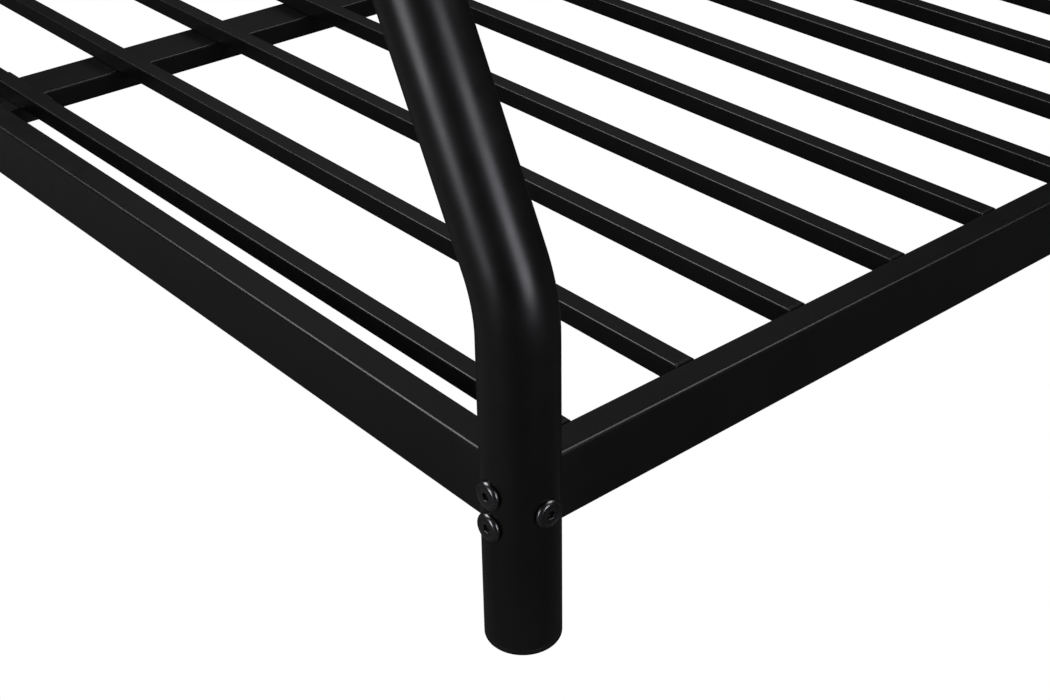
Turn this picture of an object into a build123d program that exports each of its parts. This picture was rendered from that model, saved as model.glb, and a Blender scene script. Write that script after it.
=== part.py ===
from build123d import *
import math
import os

# A bunk bed of powder-coated steel tube: a narrow bunk above a wide, low bed.
# Thick round corner posts stand upright at the floor, bend inward above the low
# bed and turn upright again under the upper bunk.  Rectangular rails are bolted
# to the posts, and thin square slats span the rails of both decks.
# X runs along the bed, Y across it and Z up.  The ladder is on the -Y side.
# The origin is the middle of the footprint, on the floor.  Sizes are in mm.

# ---- overall sizes, from post axis to post axis ----
bed_length = 2050.0
lower_width = 1560.0
upper_width = 1010.0
lower_deck_top = 134.0
upper_deck_top = 1180.0
post_top = 1554.0

# ---- corner posts ----
post_diameter = 50.0
post_wall = 1.5
post_lean = 26.6            # degrees from upright, between the two bends
first_bend_height = 243.5   # where the upright and the leaning axes cross
bend_radius = 100.0
post_joint_height = 1000.0  # the upper post stands on the lower one here

# ---- rails, slats and centre beam ----
rail_width = 24.0
rail_height = 50.0
tube_wall = 1.5
rail_corner = 2.5
slat_size = 16.0
slat_wall = 1.2
slat_corner = 1.6
lower_slat_count = 19
upper_slat_count = 13
first_slat_gap = 18.5       # from the end post's face to the middle of the first slat
beam_width = 50.0
beam_height = 20.0
beam_corner = 2.0
beam_end_gap = 2.0

# ---- bolts ----
bolt_diameter = 8.0
bolt_head_diameter = 19.5
bolt_head_thickness = 3.2
bolt_reach = 20.0           # past the post, into the end of a rail or bar
bolt_socket = 5.0           # across the flats
bolt_line_drop = 26.4       # from the rail's top to the middle of its bolts
bolt_spacing = 23.5         # between the two bolts of a side rail
short_bolt_diameter = 6.0
short_bolt_head_diameter = 14.0
short_bolt_length = 10.0
ladder_bolt_length = 32.0

# ---- guard bars and ladder ----
bar_diameter = 25.0
bar_wall = 1.2
guard_top_height = 1522.5   # axis of the highest side bars
guard_mid_height = 1410.0
end_bar_drop = 20.0         # the end bars lie this much lower than the side bars
hoop_stile_gap = 60.7       # from the hoop's end to the left stile, axis to axis
hoop_bend_radius = 50.0
upright_diameter = 16.0
upright_bays = 4            # the uprights divide the rear side into this many bays
stile_knee_height = 1100.0
stile_top = 1500.0
stile_bend_radius = 180.0
ladder_slat_index = 13      # the left stile stands just past this slat
ladder_pitches = 4          # the stiles are this many slat pitches apart
rung_count = 4
rung_width = 30.0
rung_height = 15.0

# ---- small pieces ----
foot_height = 5.0
cap_height = 6.0
plug_depth = 22.0
coupling_length = 160.0
coupling_wall = 2.0
insert_setback = 1.0        # from a post's face to a threaded insert
insert_thickness = 12.0
insert_corner = 1.8
slat_flange = 2.0
pin_diameter = 8.0
pin_length = 6.0
sheet = 3.0                 # thickness of brackets, clips and plates
cradle_reach = 68.5         # from the post axis line to the cradle's open end
cradle_wing = 15.0          # each wing's width beyond the trough's wall
leg_diameter = 32.0
leg_plate_length = 84.0
leg_plate_width = 40.0
clip_length = 40.0
clip_depth = 22.0

# ---- clearances ----
saddle_gap = 0.1            # rail and bar ends, cut to the round of a post
sleeve_gap = 0.2            # plugs, sleeves and inserts in their tubes
hole_gap = 0.25             # bolts in plain holes, on the radius
thread_gap = 0.05           # bolts in threaded holes, on the radius
beam_side_gap = 0.5

# ---- sizes that follow ----
post_radius = post_diameter / 2
post_bore = post_radius - post_wall
insert_distance = post_radius + insert_setback
bolt_length = post_diameter + bolt_reach
bar_radius = bar_diameter / 2
bar_bore = bar_radius - bar_wall
upright_spacing = bed_length / upright_bays
bend_shift = (lower_width - upper_width) / 2
second_bend_height = first_bend_height + bend_shift / math.tan(math.radians(post_lean))
first_slat_inset = post_radius + first_slat_gap
lower_slat_pitch = (bed_length - 2 * first_slat_inset) / (lower_slat_count - 1)
upper_slat_pitch = (bed_length - 2 * first_slat_inset) / (upper_slat_count - 1)
beam_top = lower_deck_top - slat_size
beam_bottom = beam_top - beam_height
stile_radius = bar_radius
stile_spacing = ladder_pitches * lower_slat_pitch
stile_foot_y = -lower_width / 2
stile_foot_height = lower_deck_top + sheet
stile_upper_y = -upper_width / 2 - rail_width / 2 - stile_radius
stile_slope = (stile_upper_y - stile_foot_y) / (stile_knee_height - stile_foot_height)

ends = {"left": -1, "right": 1}
sides = {"front": -1, "rear": 1}

os.makedirs("parts", exist_ok=True)


def save(builder, name):
    """Label a finished piece and write it to its own file."""
    builder.part.label = name
    export_step(builder.part, f"parts/{name}.step")


def slat_positions(count, pitch):
    """Middle of each slat along X, counted from the left end."""
    first = -bed_length / 2 + first_slat_inset
    return [first + pitch * index for index in range(count)]


def bolt_heights(deck_top):
    """Heights of the two side-rail bolts and of the end-rail bolt between them."""
    middle = deck_top - bolt_line_drop
    return [middle - bolt_spacing / 2, middle + bolt_spacing / 2], middle


def along(direction, point):
    """A plane at a point that faces along a direction."""
    return Plane(origin=point, z_dir=direction)


def drill(direction, point, radius, depth):
    """A round hole, centred on a point of the active part."""
    with Locations(along(direction, point)):
        Cylinder(radius, depth, mode=Mode.SUBTRACT)


def ring(outer_radius, wall):
    """Section of a round tube in the active sketch."""
    Circle(outer_radius)
    Circle(outer_radius - wall, mode=Mode.SUBTRACT)


def box_ring(width, height, wall, corner):
    """Section of a rectangular tube in the active sketch."""
    inner_corner = max(corner - wall, corner / 4)
    RectangleRounded(width, height, corner)
    RectangleRounded(width - 2 * wall, height - 2 * wall, inner_corner, mode=Mode.SUBTRACT)


# ---- posts ----

def lower_post(name, end, side):
    """Bent corner post, from its foot plug to the joint under the upper bunk."""
    x = end * bed_length / 2
    low_y = side * lower_width / 2
    high_y = side * upper_width / 2
    pair, single = bolt_heights(lower_deck_top)
    with BuildPart() as post:
        with BuildLine(Plane.YZ.offset(x)):
            FilletPolyline(
                (low_y, foot_height),
                (low_y, first_bend_height),
                (high_y, second_bend_height),
                (high_y, post_joint_height),
                radius=bend_radius,
            )
        with BuildSketch(Plane.XY.offset(foot_height)):
            with Locations((x, low_y)):
                ring(post_radius, post_wall)
        sweep()
        for height in pair:
            drill((1, 0, 0), (x, low_y, height), bolt_diameter / 2 + hole_gap, 2 * post_diameter)
        drill((0, 1, 0), (x, low_y, single), bolt_diameter / 2 + hole_gap, 2 * post_diameter)
        sleeve_bolt = post_joint_height - coupling_length / 4
        outer_wall = (x + end * post_radius, high_y, sleeve_bolt)
        drill((1, 0, 0), outer_wall, short_bolt_diameter / 2 + hole_gap, post_radius)
    save(post, name)


def guard_heights(end, side):
    """Heights of the bolts that hold the guard bars to one upper post."""
    lengthwise = [guard_mid_height, guard_top_height]
    if side == sides["front"] and end == ends["right"]:
        lengthwise = []
    crosswise = [guard_mid_height - end_bar_drop, guard_top_height - end_bar_drop]
    return lengthwise, crosswise


def upper_post(name, end, side):
    """Straight post that carries the upper bunk and its guard bars."""
    x = end * bed_length / 2
    y = side * upper_width / 2
    pair, single = bolt_heights(upper_deck_top)
    lengthwise, crosswise = guard_heights(end, side)
    with BuildPart() as post:
        with BuildSketch(Plane.XY.offset(post_joint_height)):
            with Locations((x, y)):
                ring(post_radius, post_wall)
        extrude(amount=post_top - post_joint_height)
        for height in pair + lengthwise:
            drill((1, 0, 0), (x, y, height), bolt_diameter / 2 + hole_gap, 2 * post_diameter)
        for height in [single] + crosswise:
            drill((0, 1, 0), (x, y, height), bolt_diameter / 2 + hole_gap, 2 * post_diameter)
        sleeve_bolt = post_joint_height + coupling_length / 4
        outer_wall = (x + end * post_radius, y, sleeve_bolt)
        drill((1, 0, 0), outer_wall, short_bolt_diameter / 2 + hole_gap, post_radius)
    save(post, name)


for side_name, side in sides.items():
    for end_name, end in ends.items():
        lower_post(f"lower_post_{side_name}_{end_name}", end, side)
        upper_post(f"upper_post_{side_name}_{end_name}", end, side)


def corners(width):
    """The four post axes of a deck."""
    return [(end * bed_length / 2, side * width / 2) for end in ends.values() for side in sides.values()]


lower_corners = corners(lower_width)
upper_corners = corners(upper_width)

# The sleeve inside each post joint has two threaded holes, which face the bed's ends.
with BuildPart() as post_couplings:
    with BuildSketch(Plane.XY.offset(post_joint_height - coupling_length / 2)):
        with Locations(*upper_corners):
            ring(post_bore - sleeve_gap, coupling_wall)
    extrude(amount=coupling_length)
    for x, y in upper_corners:
        for step in (-coupling_length / 4, coupling_length / 4):
            wall_point = (x + math.copysign(post_radius, x), y, post_joint_height + step)
            drill((1, 0, 0), wall_point, short_bolt_diameter / 2 + thread_gap, post_radius)
save(post_couplings, "post_couplings")

# Plastic plugs: feet that the posts stand on, and domed caps on top.
with BuildPart() as foot_plugs:
    with BuildSketch(Plane.XY):
        with Locations(*lower_corners):
            Circle(post_radius)
    extrude(amount=foot_height)
    fillet(foot_plugs.edges().group_by(Axis.Z)[0], radius=foot_height / 2)
    with BuildSketch(Plane.XY.offset(foot_height)):
        with Locations(*lower_corners):
            Circle(post_bore - sleeve_gap)
    extrude(amount=plug_depth)
save(foot_plugs, "foot_plugs")

with BuildPart() as post_caps:
    with BuildSketch(Plane.XY.offset(post_top)):
        with Locations(*upper_corners):
            Circle(post_radius)
    extrude(amount=cap_height)
    fillet(post_caps.edges().group_by(Axis.Z)[-1], radius=cap_height * 0.8)
    with BuildSketch(Plane.XY.offset(post_top)):
        with Locations(*upper_corners):
            Circle(post_bore - sleeve_gap)
    extrude(amount=-plug_depth)
save(post_caps, "post_caps")


# ---- rails ----

def side_rail(name, side, deck_width, deck_top, slats):
    """Rail along the bed, with a peg hole for each slat in its inner wall."""
    y = side * deck_width / 2
    middle = deck_top - rail_height / 2
    inner_face = y - side * rail_width / 2
    front_face = y + side * rail_width / 2
    with BuildPart() as rail:
        with BuildSketch(Plane(origin=(-bed_length / 2, y, middle), x_dir=(0, 1, 0), z_dir=(1, 0, 0))):
            box_ring(rail_width, rail_height, tube_wall, rail_corner)
        extrude(amount=bed_length)
        for end in ends.values():
            drill((0, 0, 1), (end * bed_length / 2, y, middle), post_radius + saddle_gap, 2 * rail_height)
        for x in slats:
            peg_hole = (x, inner_face, deck_top - slat_size / 2)
            drill((0, 1, 0), peg_hole, pin_diameter / 2 + hole_gap, rail_width / 2)
        if side == sides["front"]:
            for x in stile_positions:
                height = clip_bolt_height if deck_top == lower_deck_top else stile_bolt_height
                tapped_radius = short_bolt_diameter / 2 + thread_gap
                drill((0, 1, 0), (x, front_face, height), tapped_radius, rail_width / 2)
    save(rail, name)


def end_rail(name, end, deck_width, deck_top):
    """Rail across one end of a deck."""
    x = end * bed_length / 2
    middle = deck_top - rail_height / 2
    with BuildPart() as rail:
        with BuildSketch(Plane(origin=(x, -deck_width / 2, middle), x_dir=(1, 0, 0), z_dir=(0, 1, 0))):
            box_ring(rail_width, rail_height, tube_wall, rail_corner)
        extrude(amount=deck_width)
        for side in sides.values():
            drill((0, 0, 1), (x, side * deck_width / 2, middle), post_radius + saddle_gap, 2 * rail_height)
    save(rail, name)


lower_slats = slat_positions(lower_slat_count, lower_slat_pitch)
upper_slats = slat_positions(upper_slat_count, upper_slat_pitch)
left_stile_x = lower_slats[ladder_slat_index] + lower_slat_pitch / 2
stile_positions = [left_stile_x, left_stile_x + stile_spacing]
hoop_end_x = left_stile_x - hoop_stile_gap
clip_bolt_height = lower_deck_top - clip_depth / 2
stile_bolt_height = upper_deck_top - rail_height / 2
decks = {
    "lower": (lower_width, lower_deck_top, lower_slats),
    "upper": (upper_width, upper_deck_top, upper_slats),
}

for deck_name, (deck_width, deck_top, slats) in decks.items():
    for side_name, side in sides.items():
        side_rail(f"{deck_name}_side_rail_{side_name}", side, deck_width, deck_top, slats)
    for end_name, end in ends.items():
        end_rail(f"{deck_name}_end_rail_{end_name}", end, deck_width, deck_top)


# ---- slats ----

def slat_start(x, deck_width, deck_top):
    """Plane of a slat's front end, just clear of its end plug's flange."""
    y = -deck_width / 2 + rail_width / 2 + slat_flange
    return Plane(origin=(x, y, deck_top - slat_size / 2), x_dir=(1, 0, 0), z_dir=(0, 1, 0))


def slat_length(deck_width):
    return deck_width - rail_width - 2 * slat_flange


for index, x in enumerate(lower_slats, start=1):
    with BuildPart() as slat:
        with BuildSketch(slat_start(x, lower_width, lower_deck_top)):
            box_ring(slat_size, slat_size, slat_wall, slat_corner)
        extrude(amount=slat_length(lower_width))
    save(slat, f"lower_slat_{index:02d}")

with BuildPart() as upper_slat_set:
    for x in upper_slats:
        with BuildSketch(slat_start(x, upper_width, upper_deck_top)):
            box_ring(slat_size, slat_size, slat_wall, slat_corner)
    extrude(amount=slat_length(upper_width))
save(upper_slat_set, "upper_slats")

# Plastic plug in each slat end: a flange against the rail and a peg through its wall.
slat_bore = slat_size - 2 * slat_wall - 2 * sleeve_gap
with BuildPart() as slat_plug:
    with BuildSketch(Plane.XY):
        RectangleRounded(slat_size, slat_size, slat_corner)
    extrude(amount=slat_flange)
    with BuildSketch(Plane.XY):
        Circle(pin_diameter / 2)
    extrude(amount=-pin_length)
    with BuildSketch(Plane.XY.offset(slat_flange)):
        RectangleRounded(slat_bore, slat_bore, slat_corner / 2)
    extrude(amount=plug_depth)

plug_planes = []
for deck_width, deck_top, slats in decks.values():
    for x in slats:
        for side in sides.values():
            face_y = side * (deck_width - rail_width) / 2
            plug_point = (x, face_y, deck_top - slat_size / 2)
            plug_planes.append(Plane(origin=plug_point, x_dir=(1, 0, 0), z_dir=(0, -side, 0)))
with BuildPart() as slat_plugs:
    with Locations(*plug_planes):
        add(slat_plug.part)
save(slat_plugs, "slat_plugs")


# ---- centre beam, its cradles and its leg ----

beam_half = bed_length / 2 - rail_width / 2 - beam_end_gap
cradle_bolt_x = bed_length / 2 - (cradle_reach + rail_width / 2) / 2
leg_bolt_x = (leg_diameter + leg_plate_length) / 4
beam_bolts_x = [-cradle_bolt_x, -leg_bolt_x, leg_bolt_x, cradle_bolt_x]

with BuildPart() as centre_beam:
    beam_middle = (beam_top + beam_bottom) / 2
    with BuildSketch(Plane(origin=(-beam_half, 0, beam_middle), x_dir=(0, 1, 0), z_dir=(1, 0, 0))):
        box_ring(beam_width, beam_height, tube_wall, beam_corner)
    extrude(amount=2 * beam_half)
    for x in beam_bolts_x:
        drill((0, 0, 1), (x, 0, beam_bottom), short_bolt_diameter / 2 + thread_gap, beam_height)
save(centre_beam, "centre_beam")

# Each cradle is a folded trough with wings, welded to the end rail's inner face.
with BuildPart() as beam_cradles:
    trough_width = beam_width + 2 * beam_side_gap
    trough_bottom = beam_bottom - sheet
    for end in ends.values():
        rail_face = end * (bed_length / 2 - rail_width / 2)
        open_end = end * (bed_length / 2 - cradle_reach)
        with BuildSketch(Plane(origin=(rail_face, 0, 0), x_dir=(0, 1, 0), z_dir=(1, 0, 0))):
            with Locations((0, (beam_top + trough_bottom) / 2)):
                Rectangle(trough_width + 2 * sheet, beam_top - trough_bottom)
            with Locations((0, beam_top - sheet / 2)):
                Rectangle(trough_width + 2 * (sheet + cradle_wing), sheet)
            with Locations((0, (beam_top + beam_bottom) / 2)):
                Rectangle(trough_width, beam_height, mode=Mode.SUBTRACT)
        extrude(amount=open_end - rail_face)
        cradle_hole = (end * cradle_bolt_x, 0, trough_bottom)
        drill((0, 0, 1), cradle_hole, short_bolt_diameter / 2 + hole_gap, beam_height)
save(beam_cradles, "beam_cradles")

with BuildPart() as centre_leg:
    with BuildSketch(Plane.XY.offset(foot_height)):
        ring(leg_diameter / 2, tube_wall)
    extrude(amount=beam_bottom - sheet - foot_height)
    with BuildSketch(Plane.XY.offset(beam_bottom)):
        RectangleRounded(leg_plate_length, leg_plate_width, rail_corner)
    extrude(amount=-sheet)
    for x in (-leg_bolt_x, leg_bolt_x):
        drill((0, 0, 1), (x, 0, beam_bottom), short_bolt_diameter / 2 + hole_gap, beam_height)
save(centre_leg, "centre_leg")

with BuildPart() as leg_foot:
    with BuildSketch(Plane.XY):
        Circle(leg_diameter / 2)
    extrude(amount=foot_height)
    fillet(leg_foot.edges().group_by(Axis.Z)[0], radius=foot_height / 2)
    with BuildSketch(Plane.XY.offset(foot_height)):
        Circle(leg_diameter / 2 - tube_wall - sleeve_gap)
    extrude(amount=plug_depth)
save(leg_foot, "leg_foot")


# ---- guard bars ----

def trim_to_posts(side_values, end_values, height):
    """Cut the active part's tube ends to the round of the upper posts."""
    for end in end_values:
        for side in side_values:
            post_point = (end * bed_length / 2, side * upper_width / 2, height)
            drill((0, 0, 1), post_point, post_radius + saddle_gap, 2 * guard_top_height)


def rear_guard_bar(name, height):
    """Straight bar between the two rear posts."""
    with BuildPart() as bar:
        with BuildSketch(along((1, 0, 0), (-bed_length / 2, upper_width / 2, height))):
            ring(bar_radius, bar_wall)
        extrude(amount=bed_length)
        trim_to_posts([sides["rear"]], ends.values(), height)
    save(bar, name)


rear_guard_bar("rear_guard_top_bar", guard_top_height)
rear_guard_bar("rear_guard_mid_bar", guard_mid_height)

for end_name, end in ends.items():
    with BuildPart() as end_bars:
        for height in guard_heights(end, sides["rear"])[1]:
            with BuildSketch(along((0, 1, 0), (end * bed_length / 2, -upper_width / 2, height))):
                ring(bar_radius, bar_wall)
        extrude(amount=upper_width)
        trim_to_posts(sides.values(), [end], guard_mid_height)
    save(end_bars, f"{end_name}_guard_bars")

# The front guard is one tube, bent back on itself beside the ladder.
with BuildPart() as front_guard_hoop:
    with BuildLine(Plane.XZ.offset(upper_width / 2)):
        FilletPolyline(
            (-bed_length / 2, guard_top_height),
            (hoop_end_x, guard_top_height),
            (hoop_end_x, guard_mid_height),
            (-bed_length / 2, guard_mid_height),
            radius=hoop_bend_radius,
        )
    with BuildSketch(along((1, 0, 0), (-bed_length / 2, -upper_width / 2, guard_top_height))):
        ring(bar_radius, bar_wall)
    sweep()
    trim_to_posts([sides["front"]], [ends["left"]], guard_mid_height)
save(front_guard_hoop, "front_guard_hoop")

# Short uprights are welded between the rails and the bars.
long_side_uprights = [(x, upper_width / 2) for x in (-upright_spacing, 0, upright_spacing)]
front_uprights_x = (-upright_spacing, 0, hoop_end_x - 2 * hoop_bend_radius)
long_side_uprights += [(x, -upper_width / 2) for x in front_uprights_x]
end_uprights = [(end * bed_length / 2, 0) for end in ends.values()]
with BuildPart() as guard_uprights:
    with BuildSketch(Plane.XY.offset(upper_deck_top)):
        with Locations(*long_side_uprights):
            ring(upright_diameter / 2, bar_wall)
    extrude(amount=guard_top_height - upper_deck_top)
    with BuildSketch(Plane.XY.offset(upper_deck_top)):
        with Locations(*end_uprights):
            ring(upright_diameter / 2, bar_wall)
    extrude(amount=guard_top_height - end_bar_drop - upper_deck_top)
    for height in (guard_mid_height, guard_top_height):
        for side in sides.values():
            drill((1, 0, 0), (0, side * upper_width / 2, height), bar_radius, bed_length)
        for end in ends.values():
            crossing = (end * bed_length / 2, 0, height - end_bar_drop)
            drill((0, 1, 0), crossing, bar_radius, upper_width - post_diameter)
save(guard_uprights, "guard_uprights")


# ---- ladder ----

def stile_y(height):
    """Y of the leaning part of a stile's axis at a height."""
    return stile_foot_y + stile_slope * (height - stile_foot_height)


for stile_name, x in zip(ends, stile_positions):
    with BuildPart() as stile:
        start_height = stile_foot_height - stile_radius
        start = (x, stile_y(start_height), start_height)
        with BuildLine(Plane.YZ.offset(x)):
            FilletPolyline(
                (start[1], start_height),
                (stile_upper_y, stile_knee_height),
                (stile_upper_y, stile_top),
                radius=stile_bend_radius,
            )
        with BuildSketch(along((0, stile_slope, 1), start)):
            ring(stile_radius, bar_wall)
        sweep()
        split(bisect_by=Plane.XY.offset(stile_foot_height), keep=Keep.TOP)
        bolt_point = (x, stile_upper_y, stile_bolt_height)
        drill((0, 1, 0), bolt_point, short_bolt_diameter / 2 + hole_gap, 2 * bar_diameter)
    save(stile, f"ladder_stile_{stile_name}")

rung_pitch = (stile_bolt_height - lower_deck_top) / (rung_count + 1)
rung_heights = [lower_deck_top + rung_pitch * (index + 1) for index in range(rung_count)]
with BuildPart() as ladder_rungs:
    for height in rung_heights:
        rung_start = (stile_positions[0], stile_y(height), height)
        with BuildSketch(Plane(origin=rung_start, x_dir=(0, 1, 0), z_dir=(1, 0, 0))):
            box_ring(rung_width, rung_height, bar_wall, rail_corner)
    extrude(amount=stile_spacing)
    for height in rung_heights:
        for x in stile_positions:
            drill((0, stile_slope, 1), (x, stile_y(height), height), stile_radius, 4 * rung_width)
save(ladder_rungs, "ladder_rungs")

with BuildPart() as ladder_top_plugs:
    stile_tops = [(x, stile_upper_y) for x in stile_positions]
    with BuildSketch(Plane.XY.offset(stile_top)):
        with Locations(*stile_tops):
            Circle(stile_radius)
    extrude(amount=cap_height)
    fillet(ladder_top_plugs.edges().group_by(Axis.Z)[-1], radius=cap_height * 0.8)
    with BuildSketch(Plane.XY.offset(stile_top)):
        with Locations(*stile_tops):
            Circle(bar_bore - sleeve_gap)
    extrude(amount=-plug_depth)
save(ladder_top_plugs, "ladder_top_plugs")

# Folded clips straddle the lower side rail and carry the feet of the stiles.
with BuildPart() as ladder_clips:
    for x in stile_positions:
        clip_left = x - clip_length / 2
        with BuildSketch(Plane(origin=(clip_left, stile_foot_y, 0), x_dir=(0, 1, 0), z_dir=(1, 0, 0))):
            with Locations((0, stile_foot_height - (clip_depth + sheet) / 2)):
                Rectangle(rail_width + 2 * sheet, clip_depth + sheet)
            with Locations((0, lower_deck_top - clip_depth / 2)):
                Rectangle(rail_width, clip_depth, mode=Mode.SUBTRACT)
    extrude(amount=clip_length)
    for x in stile_positions:
        clip_face = (x, stile_foot_y - rail_width / 2 - sheet, clip_bolt_height)
        drill((0, 1, 0), clip_face, short_bolt_diameter / 2 + hole_gap, rail_width / 2)
save(ladder_clips, "ladder_clips")


# ---- threaded inserts ----

def insert_plane(corner, direction, height, distance):
    """Plane of an insert, facing back towards its post."""
    x = corner[0] + direction[0] * distance
    y = corner[1] + direction[1] * distance
    level_edge = (-direction[1], direction[0], 0)
    return Plane(origin=(x, y, height), x_dir=level_edge, z_dir=(direction[0], direction[1], 0))


with BuildPart() as rail_insert:
    with BuildSketch(Plane.XY):
        RectangleRounded(rail_width - 2 * tube_wall, rail_height - 2 * tube_wall, insert_corner)
    extrude(amount=insert_thickness)
    bore_line = rail_height / 2 - bolt_line_drop
    for step in (-bolt_spacing / 2, 0, bolt_spacing / 2):
        drill((0, 0, 1), (0, bore_line + step, 0), bolt_diameter / 2 + thread_gap, 3 * insert_thickness)

with BuildPart() as bar_insert:
    with BuildSketch(Plane.XY):
        Circle(bar_bore - sleeve_gap)
        Circle(bolt_diameter / 2 + thread_gap, mode=Mode.SUBTRACT)
    extrude(amount=insert_thickness)

rail_insert_planes = []
bar_insert_planes = []
long_bolt_planes = []
short_bolt_planes = []
for deck_width, deck_top, slats in decks.values():
    pair, single = bolt_heights(deck_top)
    for end in ends.values():
        for side in sides.values():
            corner = (end * bed_length / 2, side * deck_width / 2)
            lengthwise, crosswise = pair, [single]
            for direction in ((-end, 0), (0, -side)):
                rail_middle = deck_top - rail_height / 2
                rail_insert_planes.append(insert_plane(corner, direction, rail_middle, insert_distance))
            if deck_top == upper_deck_top:
                side_bars, end_bars_here = guard_heights(end, side)
                for height in side_bars:
                    bar_insert_planes.append(insert_plane(corner, (-end, 0), height, insert_distance))
                for height in end_bars_here:
                    bar_insert_planes.append(insert_plane(corner, (0, -side), height, insert_distance))
                lengthwise, crosswise = pair + side_bars, [single] + end_bars_here
                for step in (-coupling_length / 4, coupling_length / 4):
                    joint_bolt = post_joint_height + step
                    short_bolt_planes.append(insert_plane(corner, (-end, 0), joint_bolt, -post_radius))
            for height in lengthwise:
                long_bolt_planes.append(insert_plane(corner, (-end, 0), height, -post_radius))
            for height in crosswise:
                long_bolt_planes.append(insert_plane(corner, (0, -side), height, -post_radius))

with BuildPart() as rail_inserts:
    with Locations(*rail_insert_planes):
        add(rail_insert.part)
save(rail_inserts, "rail_inserts")

with BuildPart() as guard_bar_inserts:
    with Locations(*bar_insert_planes):
        add(bar_insert.part)
save(guard_bar_inserts, "guard_bar_inserts")


# ---- bolts ----

def bolt(shank_diameter, head_diameter, shank_length):
    """Wide flat-headed bolt; its head's underside lies on the XY plane, the shank along +Z."""
    rim = bolt_head_thickness / 3
    with BuildPart() as made:
        with BuildSketch(Plane.XY):
            Circle(head_diameter / 2)
        extrude(amount=-bolt_head_thickness)
        outer_edge = made.edges().group_by(Axis.Z)[0]
        chamfer(outer_edge, length=rim, length2=2 * rim)
        with BuildSketch(Plane.XY):
            Circle(shank_diameter / 2)
        extrude(amount=shank_length)
        with BuildSketch(Plane.XY.offset(-bolt_head_thickness)):
            RegularPolygon(bolt_socket / 2, 6, major_radius=False)
        extrude(amount=bolt_head_thickness * 0.8, mode=Mode.SUBTRACT)
        chamfer(made.edges().group_by(Axis.Z)[-1], length=shank_diameter / 8)
    return made


long_bolt = bolt(bolt_diameter, bolt_head_diameter, bolt_length)
short_bolt = bolt(short_bolt_diameter, short_bolt_head_diameter, short_bolt_length)
ladder_bolt = bolt(short_bolt_diameter, short_bolt_head_diameter, ladder_bolt_length)

short_bolt_planes += [along((0, 0, 1), (end * cradle_bolt_x, 0, trough_bottom)) for end in ends.values()]
short_bolt_planes += [along((0, 0, 1), (x, 0, beam_bottom - sheet)) for x in (-leg_bolt_x, leg_bolt_x)]
clip_front = stile_foot_y - rail_width / 2 - sheet
short_bolt_planes += [along((0, 1, 0), (x, clip_front, clip_bolt_height)) for x in stile_positions]
stile_front = stile_upper_y - stile_radius
ladder_bolt_planes = [along((0, 1, 0), (x, stile_front, stile_bolt_height)) for x in stile_positions]

with BuildPart() as rail_bolts:
    with Locations(*long_bolt_planes):
        add(long_bolt.part)
save(rail_bolts, "rail_bolts")

with BuildPart() as short_bolts:
    with Locations(*short_bolt_planes):
        add(short_bolt.part)
save(short_bolts, "short_bolts")

with BuildPart() as ladder_bolts:
    with Locations(*ladder_bolt_planes):
        add(ladder_bolt.part)
save(ladder_bolts, "ladder_bolts")
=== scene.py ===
# %% [markdown]
# # A bunk bed frame in black powder-coated steel
# The bed is made of bent round posts, rectangular rails, square slats, bolts and
# plastic plugs.  The CAD model gives every size and place.  This lesson rebuilds
# the pieces that the eye lands on as fine meshes, with rounded edges, saddle-cut
# ends and weld beads, and gives each piece a finish made of nodes.
# Lengths are in metres.  X runs along the bed, Y across it, and Z up.

# %% Load the frame
import bmesh
import bpy
import math
from mathutils import Matrix, Vector


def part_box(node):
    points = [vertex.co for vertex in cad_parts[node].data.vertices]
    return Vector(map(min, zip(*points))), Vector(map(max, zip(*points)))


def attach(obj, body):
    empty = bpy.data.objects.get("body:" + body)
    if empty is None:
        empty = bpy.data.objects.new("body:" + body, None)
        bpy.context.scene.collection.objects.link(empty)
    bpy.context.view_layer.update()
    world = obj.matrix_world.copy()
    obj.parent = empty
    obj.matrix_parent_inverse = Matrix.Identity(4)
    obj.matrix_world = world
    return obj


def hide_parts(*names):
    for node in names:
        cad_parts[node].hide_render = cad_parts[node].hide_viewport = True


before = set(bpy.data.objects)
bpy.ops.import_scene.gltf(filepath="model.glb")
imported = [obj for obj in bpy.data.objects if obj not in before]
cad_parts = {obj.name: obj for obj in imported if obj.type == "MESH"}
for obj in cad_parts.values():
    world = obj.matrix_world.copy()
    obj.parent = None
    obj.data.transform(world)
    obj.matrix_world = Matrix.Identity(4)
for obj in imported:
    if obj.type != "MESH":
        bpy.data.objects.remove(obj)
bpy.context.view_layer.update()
scene = bpy.context.scene
print("CAD nodes:", len(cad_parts))

# %% [markdown]
# ## Sizes that come from the frame
# A piece built beside the CAD has to fit it to a fraction of a millimetre.  So the
# post axes, the tube sizes and the deck heights are read from the boxes of the CAD
# nodes.  What a box can't tell, such as a wall, a bend radius or the place of one
# bolt among many, is written beside the piece that needs it.

# %% Read the sizes
post_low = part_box("lower_post_front_left")[0]
upper_low, upper_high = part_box("upper_post_front_left")
post_radius = (upper_high.x - upper_low.x) / 2
end_x = -(post_low.x + post_radius)
lower_y = -(post_low.y + post_radius)
upper_y = -(upper_low.y + post_radius)
post_joint = upper_low.z
post_top = upper_high.z
foot_height = post_low.z
lower_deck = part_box("lower_side_rail_front")[1].z
upper_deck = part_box("upper_side_rail_front")[1].z

ends = {"left": -1, "right": 1}
sides = {"front": -1, "rear": 1}
decks = {"lower": (lower_y, lower_deck), "upper": (upper_y, upper_deck)}
four_corners = [(end, side) for end in (-1, 1) for side in (-1, 1)]
print(f"posts {2 * post_radius:.3f} thick, {2 * end_x:.3f} by {2 * lower_y:.3f} apart")

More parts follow.
